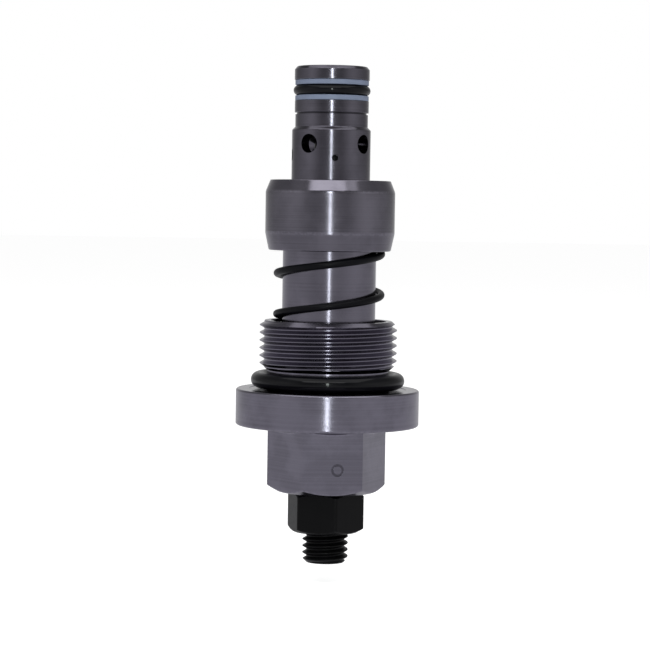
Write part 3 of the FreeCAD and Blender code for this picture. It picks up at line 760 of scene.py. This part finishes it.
def radial_drill(name, radius, height, angle, sides=64, near=4.0, far=13.0):
    """A cutting cylinder that points outward from the axis; its angle is in degrees."""
    turned = Matrix.Rotation(math.radians(angle), 4, "Z") @ Matrix.Rotation(UPRIGHT, 4, "Y")
    lift = Matrix.Translation((0, 0, height * MM))
    reach = Matrix.Translation((0, 0, (near + far) / 2 * MM))
    work = bmesh.new()
    bmesh.ops.create_cone(work, cap_ends=True, segments=sides, radius1=radius * MM, radius2=radius * MM,
                          depth=(far - near) * MM, matrix=lift @ turned @ reach)
    data = bpy.data.meshes.new(name)
    work.to_mesh(data)
    work.free()
    return data


def cut_away(name, data, cutters):
    """The mesh less the joined cutters, with the floor of each cut darkened by dark oil and painted shade.
    """
    blank = shown(name + "_blank", finished_mesh(name + "_blank", data))
    tool = shown(name + "_tool", finished_mesh(name + "_tool", joined(name + "_tool", cutters)))
    skin = BVHTree.FromObject(blank, bpy.context.evaluated_depsgraph_get())
    modifier = blank.modifiers.new("Cut", "BOOLEAN")
    modifier.operation = "DIFFERENCE"
    modifier.solver = "EXACT"
    modifier.object = tool
    bpy.context.view_layer.update()
    graph = bpy.context.evaluated_depsgraph_get()
    cut = bpy.data.meshes.new_from_object(blank.evaluated_get(graph))
    bpy.data.objects.remove(blank)
    bpy.data.objects.remove(tool)
    # Points below the old surface are darkened in full: oil and painted shade inside the cut.
    below_skin = 0.01 * MM
    grime = cut.attributes["grime"].data
    for vertex in cut.vertices:
        if skin.find_nearest(vertex.co)[3] > below_skin:
            grime[vertex.index].value = SHADE_AND_OIL_FULL
    return cut


SLOTS = {entry["node"]: entry["material_slot"] for entry in frame["record"]["subparts"]}


def dressed(name, data, finish, node, body="valve", sharp=32.0):
    """Shows a mesh as a piece with its finish and its body, if it keeps to one, and hides its CAD node."""
    piece = shown(name, finished_mesh(name, data, sharp))
    piece.data.materials.clear()
    piece.data.materials.append(FINISHES[finish])
    if body:
        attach(piece, body)
    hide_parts(node)
    return piece


def body_column(angle):
    """The body's outline at one angle, from the thread's top, through the bore, to the neck."""
    side = hexagon_radius(HEX_FLATS, angle, HEX_ANGLE, corner_trim=0.0)
    inner = HEX_FLATS / 2
    foot = HEX_LOW + (side - HEX_FACE) * CHAMFER
    blend = FLANGE_LOW - BLEND_TALL + (side - inner) * BLEND_TALL / (BLEND_RADIUS - inner)
    land = SEAT_FACE - LAND_DROP
    step = 0.1
    return softened([
        (LEAD_RADIUS, THREAD_TOP, PLAIN),
        (POCKET_RADIUS, THREAD_TOP, LIGHT),
        # The spring pocket's floor is darkened: oil and painted shade.
        (POCKET_RADIUS, SPRING_LOW, PLAIN, SHADE_AND_OIL_FULL),
        (SLEEVE_RADIUS, SPRING_LOW, PLAIN, SHADE_AND_OIL_FULL),
        (SLEEVE_RADIUS, SLEEVE_LOW, PLAIN),
        (PISTON_BORE, SLEEVE_LOW, PLAIN),
        (PISTON_BORE, PISTON_FLOOR, PLAIN),
        (SCREW_BORE, PISTON_FLOOR, PLAIN),
        (SCREW_BORE, HEX_LOW + BORE_BREAK, PLAIN),
        (SCREW_BORE + BORE_BREAK, HEX_LOW, FINE),
        (HEX_FACE, HEX_LOW, SOFT),
        (side, foot, MILD),
        (side, blend, BROAD),
        (BLEND_RADIUS, FLANGE_LOW, MILD),
        (FLANGE_RADIUS - FLANGE_BREAK, FLANGE_LOW, EVEN),
        (FLANGE_RADIUS, FLANGE_LOW + FLANGE_BREAK, EVEN),
        (FLANGE_RADIUS, SEAT_FACE - FLANGE_BREAK, EVEN),
        (FLANGE_RADIUS - FLANGE_BREAK, SEAT_FACE, EVEN),
        (LAND_RADIUS, SEAT_FACE, HAIR),
        # The small step inside the seating face is darkened: oil and painted shade.
        (LAND_RADIUS - step, land, PLAIN, SHADE_AND_OIL_SOME),
        (NECK_RADIUS + 2 * step, land, FINE),
        (NECK_RADIUS, SEAT_FACE + step, FINE),
        (NECK_RADIUS, NECK_TOP, PLAIN),
    ])


def ring_punch(hollow, width, angle, along, height, depth):
    """The cutter for a small ring mark on a side of the hexagon."""
    start = HEX_FLATS / 2 - depth
    inner, outer, tall = hollow / 2, width / 2, 0.8
    corners = [(inner, 0, PLAIN), (outer, 0, PLAIN), (outer, tall, PLAIN), (inner, tall, PLAIN)]
    ring = turned_mesh("ring_punch", corners, segments=48)
    out = Vector((math.cos(angle), math.sin(angle), 0))
    aside = Vector((-out.y, out.x, 0))
    place = Matrix.Translation(out * start * MM + aside * along * MM + Vector((0, 0, height * MM)))
    ring.transform(place @ Matrix.Rotation(angle, 4, "Z") @ Matrix.Rotation(UPRIGHT, 4, "Y"))
    return ring


def valve_body_piece():
    """The hexagonal body with its flange, neck and thread, and a plain ring mark on the front side."""
    segments = 288
    core = lathe_mesh("body_core", body_column, segments, HEX_ANGLE, closed=False)
    thread = thread_shell(
        "body_thread", crest=THREAD_RADIUS, pitch=THREAD_PITCH, low=NECK_TOP, high=THREAD_TOP,
        low_radius=NECK_RADIUS, low_slope=(THREAD_RADIUS - NECK_RADIUS) / RUN_IN_TALL,
        high_radius=LEAD_RADIUS, high_slope=(THREAD_RADIUS - LEAD_RADIUS) / LEAD_TALL, start=HEX_ANGLE,
        valley_at_front=THREAD_VALLEY, segments=segments, per_pitch=16, material=FINISHES["body_steel"])
    front_side = HEX_ANGLE - UPRIGHT
    ring = ring_punch(hollow=2.1, width=3.3, angle=front_side, along=1.3, height=-20.0, depth=0.3)
    data = cut_away("body", joined("body", [core, thread]), [ring])
    dressed("valve_body_steel", data, "body_steel", "valve_body")


def guide_sleeve_piece():
    """The tube that the collar slides on, with a seal groove near its foot."""
    edge, groove_low, groove_top, groove_floor = 0.6, 8.4, 10.5, 10.7
    data = turned_mesh("guide_sleeve_steel", [
        (PISTON_BORE, SLEEVE_LOW, PLAIN),
        (SLEEVE_RADIUS - edge, SLEEVE_LOW, FINE),
        (SLEEVE_RADIUS, SLEEVE_LOW + edge, FINE),
        (SLEEVE_RADIUS, groove_low, PLAIN),
        (groove_floor, groove_low, PLAIN),
        (groove_floor, groove_top, PLAIN),
        (SLEEVE_RADIUS, groove_top, PLAIN),
        (SLEEVE_RADIUS, SLEEVE_TOP - edge, FINE),
        (SLEEVE_RADIUS - edge, SLEEVE_TOP, FINE),
        (PISTON_BORE, SLEEVE_TOP, PLAIN),
    ], segments=256)
    dressed("guide_sleeve_steel", data, "ground_steel", "guide_sleeve")


def nose_piece():
    """The nose: shank, stem, barrel with its cross ports, waist, two seal lands and the end port."""
    low, top = low_of("seat_sleeve"), top_of("seat_sleeve")
    shank, shank_edge = PISTON_BORE, 0.5
    shank_groove_low, shank_groove_top, shank_groove_floor = 37.2, 38.9, 8.0
    stem, stem_top = 9.5, top_of("makeup_poppet")
    barrel, barrel_top = rim_of("seat_sleeve"), 67.5
    waist, waist_low, waist_top = 9.46, 68.3, 71.55
    nick, nick_top = 9.1, 72.05
    lower_land, groove_floor, groove_low, groove_top = 9.64, 7.3, 75.1, 80.5
    upper_land, land_top, rim = 9.76, 83.2, 9.1
    port, port_edge = 5.5, 0.6
    chamber, seat_top = rim_of("seat_insert"), top_of("seat_insert")
    data = turned_mesh("nose", [
        (chamber, low, PLAIN),
        (shank - shank_edge, low, FINE),
        (shank, low + shank_edge, FINE),
        (shank, shank_groove_low, PLAIN),
        (shank_groove_floor, shank_groove_low, PLAIN),
        (shank_groove_floor, shank_groove_top, PLAIN),
        (shank, shank_groove_top, PLAIN),
        (shank, SLEEVE_TOP, PLAIN),
        (stem, SLEEVE_TOP, PLAIN),
        (stem, stem_top, PLAIN),
        (barrel, stem_top, FINE),
        (barrel, barrel_top, CRISP),
        (waist, waist_low, CRISP),
        (waist, waist_top, PLAIN),
        # The nick below the lower land is darkened: oil and painted shade.
        (nick, waist_top, PLAIN, SHADE_AND_OIL_FULL),
        (nick, nick_top, PLAIN, SHADE_AND_OIL_FULL),
        (lower_land, nick_top, HAIR),
        (lower_land, groove_low, HAIR),
        # The seal groove's floor is darkened: oil and painted shade.
        (groove_floor, groove_low, PLAIN, SHADE_AND_OIL_FULL),
        (groove_floor, groove_top, PLAIN, SHADE_AND_OIL_FULL),
        (upper_land, groove_top, HAIR),
        (upper_land, land_top, CRISP),
        (rim, top, CRISP),
        (port + port_edge, top, CRISP),
        (port, top - port_edge, CRISP),
        (port, seat_top, PLAIN),
        (chamber, seat_top, PLAIN),
    ], segments=288)
    port_count, first_port = 4, -35.0
    drills = [radial_drill(f"port_{index}", radius=2.45, height=63.85,
                           angle=first_port + 360 / port_count * index) for index in range(port_count)]
    drills.append(radial_drill("vent", radius=0.83, height=60.2, angle=-84.3, sides=40))
    drills.append(radial_drill("drain", radius=1.5, height=61.0, angle=-174.0, sides=48))
    dressed("nose_steel", cut_away("nose", data, drills), "nose_steel", "seat_sleeve")


def collar_piece():
    """The round collar that slides on the guide tube, with a cup for the outer spring."""
    low, top, outer = low_of("makeup_poppet"), top_of("makeup_poppet"), rim_of("makeup_poppet")
    foot, foot_edge, taper_top = 16.0, 0.25, 40.7
    cone_low, rim = 51.5, 15.7
    lip, lip_low = 9.6, 52.6
    bore, cup, cup_top = 12.3, POCKET_RADIUS, SPRING_TOP
    data = turned_mesh("collar_steel", [
        (cup + foot_edge, low, PLAIN),
        (foot - foot_edge, low, FINE),
        (foot, low + foot_edge, FINE),
        (outer, taper_top, WIDE),
        (outer, cone_low, BROAD),
        (rim, top, SOFT),
        (lip, top, FINE),
        (lip, lip_low, PLAIN),
        (bore, lip_low, PLAIN),
        (bore, cup_top, PLAIN),
        (cup, cup_top, PLAIN),
        (cup, low + foot_edge, PLAIN),
    ], segments=288)
    dressed("collar_steel", data, "collar_steel", "makeup_poppet", body="makeup_poppet")


def coil(name, node, middle, wire, active, start=0.0, first=0.0, last=1.0, steps=320, sides=24):
    """A coil spring, or a share of one, between the heights of its CAD node."""
    return grown(name, SPRING_TREE, {
        "Middle Radius": middle * MM, "Wire Radius": wire / 2 * MM, "Low End": low_of(node) * MM,
        "High End": top_of(node) * MM, "Start Turn": start, "Active Turns": active,
        "First Share": first, "Last Share": last, "Steps": steps, "Wire Sides": sides,
        "Material": FINISHES["spring_steel"]})


def outer_spring_piece():
    """The spring round the guide tube."""
    node, wire, pitch, travel = "makeup_spring", 1.9, 10.7, 5.0
    tall = SPRING_TOP - SPRING_LOW
    active = (tall - (FIRST_LIFT + 2 * END_LIFT) * wire) / pitch
    data = coil("outer_spring", node, middle=13.6, wire=wire, active=active, start=0.195,
                steps=460, sides=32)
    piece = dressed("outer_spring", data, "spring_steel", node, sharp=50)
    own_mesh(piece)


def relief_spring_pieces():
    """The inner spring in two halves, each kept as a plain mesh where it stands."""
    node, wire, clear = "relief_spring", 2.6, 0.6
    low, high = low_of(node), top_of(node)
    middle = (low + high) / 2
    halves = (
        ("relief_spring_low", 0.0, 0.5, "spring_seat", "valve", low + wire, middle - clear * wire),
        ("relief_spring_high", 0.5, 1.0, "valve", "relief_poppet", middle + clear * wire, high - wire),
    )
    for name, first, last, below, above, start, end in halves:
        data = coil(name, node, middle=7.1, wire=wire, active=6.4, first=first, last=last)
        piece = dressed(name, data, "spring_steel", node, body=None, sharp=50)
        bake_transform(piece)


def seal_piece(name, node, middle, section, height):
    """An O-ring at a height."""
    data = grown(name, SEAL_TREE, {
        "Middle Radius": middle * MM, "Section Radius": section * MM, "Height": height * MM,
        "Material": FINISHES["seal_rubber"]})
    dressed(name, data, "seal_rubber", node, sharp=80)


def backup_piece(name, node):
    """A flat backup ring beside the nose seal."""
    inner = 7.35
    low, high, outer = low_of(node), top_of(node), rim_of(node)
    data = turned_mesh(name, [
        (inner, low, PLAIN), (outer, low, EVEN), (outer, high, EVEN), (inner, high, PLAIN)])
    dressed(name, data, "backup_white", node)


def nut_column(angle):
    """The lock nut's outline at one angle, chamfered below and above."""
    side = hexagon_radius(NUT_FLATS, angle, NUT_ANGLE)
    trim = (side - NUT_FACE) * CHAMFER
    mouth = SCREW_BORE + NUT_SINK
    return softened([
        (SCREW_BORE, NUT_LOW + NUT_SINK, PLAIN),
        (mouth, NUT_LOW, FINE),
        (NUT_FACE, NUT_LOW, LIGHT),
        (side, NUT_LOW + trim, SOFT),
        (side, HEX_LOW - trim, SOFT),
        (NUT_FACE, HEX_LOW, LIGHT),
        (mouth, HEX_LOW, FINE),
        (SCREW_BORE, HEX_LOW - NUT_SINK, PLAIN),
    ])


def lock_nut_piece():
    data = lathe_mesh("lock_nut_black", nut_column, 240, NUT_ANGLE)
    dressed("lock_nut_black", data, "black_oxide", "lock_nut", body="lock_nut")


def socket_column(angle):
    """The screw's lower end at one angle: hexagon socket, its mouth and the end face."""
    side = hexagon_radius(KEY_FLATS, angle, NUT_ANGLE, corner_trim=0.04)
    drill_point, mouth, mouth_break = 0.8, 3.75, 0.35
    return softened([
        (0.0, SCREW_LOW + KEY_DEPTH + drill_point, PLAIN),
        # The socket's bottom is darkened: oil and painted shade.
        (side, SCREW_LOW + KEY_DEPTH, PLAIN, SHADE_AND_OIL_HALF),
        (side, SCREW_LOW + mouth_break, FINE),
        (mouth, SCREW_LOW, HAIR),
        (SCREW_END_RADIUS, SCREW_LOW, PLAIN),
    ])


def screw_piece():
    """The adjusting screw, from its plain tip through the thread to its socket end."""
    segments, tip_break = 144, 0.6
    run_in_tall, run_out_tall = 1.0, 1.1
    tip = softened([
        (SCREW_TIP_RADIUS, SCREW_NECK, PLAIN),
        (SCREW_TIP_RADIUS, SCREW_TOP - tip_break, LIGHT),
        (SCREW_TIP_RADIUS - tip_break, SCREW_TOP, LIGHT),
        (0.0, SCREW_TOP, PLAIN),
    ])
    upper = lathe_mesh("screw_tip", lambda angle: tip, segments, NUT_ANGLE, closed=False)
    lower = lathe_mesh("screw_socket", socket_column, segments, NUT_ANGLE, closed=False)
    thread = thread_shell(
        "screw_thread_shell", crest=SCREW_RADIUS, pitch=SCREW_PITCH, low=SCREW_LOW, high=SCREW_NECK,
        low_radius=SCREW_END_RADIUS, low_slope=(SCREW_RADIUS - SCREW_END_RADIUS) / run_in_tall,
        high_radius=SCREW_TIP_RADIUS, high_slope=(SCREW_RADIUS - SCREW_TIP_RADIUS) / run_out_tall,
        start=NUT_ANGLE, valley_at_front=SCREW_LOW - 1.0, segments=segments, per_pitch=12,
        material=FINISHES["black_oxide"])
    dressed("adjusting_screw_black", joined("screw", [upper, lower, thread]), "black_oxide",
            "adjusting_screw", body="adjusting_screw")


THREAD_TREE = screw_thread_tree()
SPRING_TREE = coil_spring_tree()
SEAL_TREE = seal_ring_tree()

valve_body_piece()
guide_sleeve_piece()
nose_piece()
collar_piece()
outer_spring_piece()
relief_spring_pieces()
seal_piece("flange_seal", "flange_o_ring", middle=18.08, section=2.04, height=2.3)
seal_piece("nose_seal", "nose_o_ring", middle=8.70, section=1.32, height=77.8)
backup_piece("upper_backup", "nose_backup_ring_upper")
backup_piece("lower_backup", "nose_backup_ring_lower")
lock_nut_piece()
screw_piece()

for node, part in frame["nodes"].items():
    for index in range(len(part.data.materials)):
        part.data.materials[index] = FINISHES[SLOTS[node]]


# ---------------------------------------------------------------- studio

LAMP_TARGET = Vector((0.0, 0.0, 0.045))
STRIP_COLOUR = (0.92, 1.0, 0.96)
SCREW_ROOM = 5.5
FLOOR_HALF_WIDTH = 6.0
FLOOR_BRIGHTNESS = 0.72
FLOOR_GLOW = 0.60
FLOOR_GLOW_COLOUR = (0.97, 0.97, 1.0, 1.0)
# The room's brightness at angles round the valve, counted in degrees from the camera's side.
ROOM_PANELS = [
    (0, 0.38), (20, 0.25), (38, 0.25), (62, 0.80), (84, 0.60), (112, 0.38), (140, 0.22), (180, 0.7)]
DIM_FROM, DIM_TO, DIM_SHARE = 0.2, 0.6, 0.42
CAMERA_LENS = 127.1
CAMERA_PLACE = Vector((-0.0012, -0.600, 0.0480))
CAMERA_AIM = Vector((-0.0009, 0.0, 0.0167))
CAMERA_ROLL = math.radians(0.89)


def camera_sees(shade, elsewhere, to_camera):
    """One shader for what the camera sees and another for reflections and light."""
    choose = shade.node("ShaderNodeMixShader")
    seen = shade.node("ShaderNodeLightPath").outputs["Is Camera Ray"]
    return shade.feed_all(choose, seen, elsewhere.outputs[0], to_camera.outputs[0])


def studio_floor():
    """A wide pale light table, clear of the screw at its longest: bright to the eye, dim in reflections."""
    work = bmesh.new()
    bmesh.ops.create_grid(work, x_segments=8, y_segments=8, size=FLOOR_HALF_WIDTH)
    data = bpy.data.meshes.new("floor")
    work.to_mesh(data)
    work.free()
    data.transform(Matrix.Translation((0, 0, cad_box[0].z - SCREW_ROOM * MM)))
    floor = shown("floor", data)
    material, shade, shader = blank_material("pale_floor")
    shader.inputs["Base Color"].default_value = (0.9, 0.9, 0.9, 1.0)
    shader.inputs["Roughness"].default_value = 0.9
    shader.inputs["Specular IOR Level"].default_value = 0.0
    shader.inputs["Emission Color"].default_value = (1.0, 1.0, 1.0, 1.0)
    shader.inputs["Emission Strength"].default_value = FLOOR_BRIGHTNESS
    dim = shade.node("ShaderNodeEmission")
    dim.inputs["Color"].default_value = FLOOR_GLOW_COLOUR
    dim.inputs["Strength"].default_value = FLOOR_GLOW
    surface = material.node_tree.nodes["Material Output"].inputs[0]
    shade.feed(surface, camera_sees(shade, dim, shader))
    data.materials.append(material)


def soft_box(name, azimuth, elevation, distance, width, height, power, colour=(1.0, 1.0, 1.0)):
    """A rectangular soft light round the valve; azimuth 0 is the camera's side. Sizes are in metres."""
    light = bpy.data.lights.new(name, "AREA")
    light.shape = "RECTANGLE"
    light.size, light.size_y = width, height
    light.energy = power
    light.color = colour
    turn, rise = math.radians(azimuth), math.radians(elevation)
    away = Vector((math.sin(turn) * math.cos(rise), -math.cos(turn) * math.cos(rise), math.sin(rise)))
    lamp = bpy.data.objects.new(name, light)
    lamp.location = LAMP_TARGET + away * distance
    lamp.rotation_euler = (-away).to_track_quat("-Z", "Y").to_euler()
    lamp.visible_camera = False
    bpy.context.scene.collection.objects.link(lamp)


def studio_world():
    """A room whose brightness changes round the valve and falls off upward, white where seen directly."""
    world = bpy.data.worlds.new("studio")
    bpy.context.scene.world = world
    world.use_nodes = True
    world.node_tree.nodes.clear()
    shade = Shade(world.node_tree)
    parts = shade.split(shade.node("ShaderNodeTexCoord").outputs["Generated"])
    toward = shade.math("MULTIPLY", parts[1], -1.0)
    azimuth = shade.math("ABSOLUTE", shade.math("ARCTAN2", parts[0], toward))
    ramp = shade.node("ShaderNodeValToRGB")
    ramp.color_ramp.interpolation = "B_SPLINE"
    marks = ramp.color_ramp.elements
    while len(marks) < len(ROOM_PANELS):
        marks.new(0.5)
    for mark, (degrees, level) in zip(marks, ROOM_PANELS):
        mark.position = degrees / 180.0
        mark.color = (level, level, level, 1.0)
    shade.feed(ramp.inputs[0], shade.math("DIVIDE", azimuth, math.pi))
    dimmed = shade.math("MULTIPLY", shade.ramp(parts[2], DIM_FROM, DIM_TO), DIM_SHARE)
    room = shade.node("ShaderNodeBackground")
    shade.feed(room.inputs["Color"], ramp.outputs[0])
    shade.feed(room.inputs["Strength"], shade.math("SUBTRACT", 1.0, dimmed))
    white = shade.node("ShaderNodeBackground")
    white.inputs["Color"].default_value = (1, 1, 1, 1)
    shade.feed(shade.node("ShaderNodeOutputWorld").inputs[0], camera_sees(shade, room, white))


def camera():
    """The view along +Y, a little above the seating face, with the valve leaning slightly right."""
    lens = bpy.data.cameras.new("camera")
    lens.lens = CAMERA_LENS
    lens.sensor_width = 36.0
    lens.clip_start, lens.clip_end = 0.01, 50.0
    view = bpy.data.objects.new("camera", lens)
    bpy.context.scene.collection.objects.link(view)
    look = (CAMERA_AIM - CAMERA_PLACE).to_track_quat("-Z", "Y").to_matrix().to_4x4()
    view.matrix_world = Matrix.Translation(CAMERA_PLACE) @ look @ Matrix.Rotation(CAMERA_ROLL, 4, "Z")
    bpy.context.scene.camera = view


studio_floor()
studio_world()
soft_box("front_strip", 0, -4, distance=0.34, width=0.021, height=0.17, power=0.100, colour=STRIP_COLOUR)
soft_box("nose_strip", 0, 14, distance=0.34, width=0.022, height=0.10, power=0.105, colour=STRIP_COLOUR)
soft_box("overhead", 10, 80, distance=0.9, width=1.4, height=1.4, power=5.0)
soft_box("high_front", -7, 45, distance=0.62, width=0.66, height=0.20, power=0.58)
soft_box("high_side", 38, 45, distance=0.62, width=0.40, height=0.20, power=0.05)
camera()
bpy.context.scene.view_settings.view_transform = "Standard"
